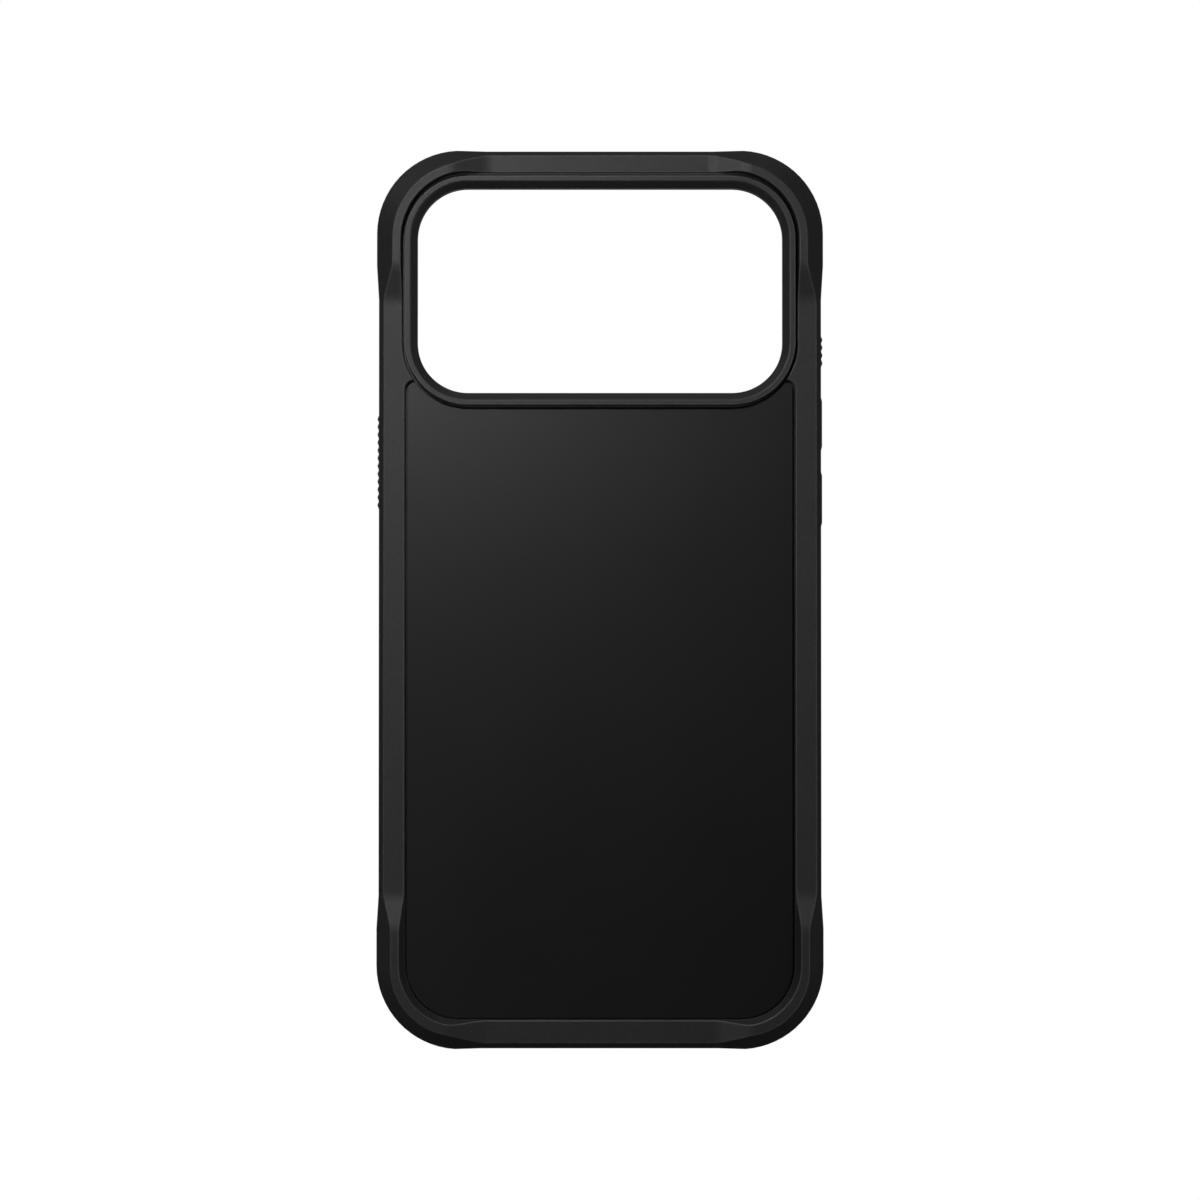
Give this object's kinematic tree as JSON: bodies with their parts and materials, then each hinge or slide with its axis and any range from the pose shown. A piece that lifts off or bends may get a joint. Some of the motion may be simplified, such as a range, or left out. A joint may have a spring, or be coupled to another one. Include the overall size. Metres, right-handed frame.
{
  "type": "phone case",
  "caption": "Rugged two-layer phone case: soft raised-corner bumper round a stiff lined shell, recessed satin back, camera bezel and separate side buttons.",
  "frame": {"origin": "plan centre of the case on the plane of its front lip, which is the face it rests on", "axes": "+Z out of the back, +Y towards the camera end, +X to the right as the back is seen"},
  "size_m": [0.084, 0.1688, 0.015],
  "materials": {
    "bumper_elastomer": "fine matte moulded texture",
    "shell_polycarbonate": "smooth moulded",
    "microfibre": "short nap",
    "bezel_polymer": "fine matte moulded texture",
    "satin_panel": "satin",
    "bonding_film": "clear film",
    "carrier_film": "clear film",
    "magnet_plating": "nickel plated",
    "tag_film": "amber film",
    "tag_copper": "bare copper",
    "chip_resin": "moulded resin",
    "button_metal": "black anodised, bead blasted",
    "silicone": "matte",
    "gasket_foam": "fine foam"
  },
  "bodies": {
    "case": {"bumper": "bumper_elastomer", "inner_shell": "shell_polycarbonate", "inner_lining": "microfibre", "camera_bezel": "bezel_polymer", "back_plate": "satin_panel", "plate_adhesive": "bonding_film", "magnet_carrier": "carrier_film", "magnet_ring": "magnet_plating", "alignment_magnets": "magnet_plating", "nfc_substrate": "tag_film", "nfc_antenna": "tag_copper", "nfc_chip": "chip_resin", "power_button_gasket": "gasket_foam", "action_button_gasket": "gasket_foam", "volume_up_button_gasket": "gasket_foam", "volume_down_button_gasket": "gasket_foam"},
    "power_button": {"power_button_cap": "button_metal", "power_button_plunger": "silicone"},
    "action_button": {"action_button_cap": "button_metal", "action_button_plunger": "silicone"},
    "volume_up_button": {"volume_up_button_cap": "button_metal", "volume_up_button_plunger": "silicone"},
    "volume_down_button": {"volume_down_button_cap": "button_metal", "volume_down_button_plunger": "silicone"}
  },
  "joints": [
    {"name": "power_button_press", "type": "slide", "parent": "case", "child": "power_button", "axis": [1, 0, 0], "range_m": [0, 0.0003]},
    {"name": "action_button_press", "type": "slide", "parent": "case", "child": "action_button", "axis": [-1, 0, 0], "range_m": [0, 0.0003]},
    {"name": "volume_up_button_press", "type": "slide", "parent": "case", "child": "volume_up_button", "axis": [-1, 0, 0], "range_m": [0, 0.0003]},
    {"name": "volume_down_button_press", "type": "slide", "parent": "case", "child": "volume_down_button", "axis": [-1, 0, 0], "range_m": [0, 0.0003]}
  ]
}
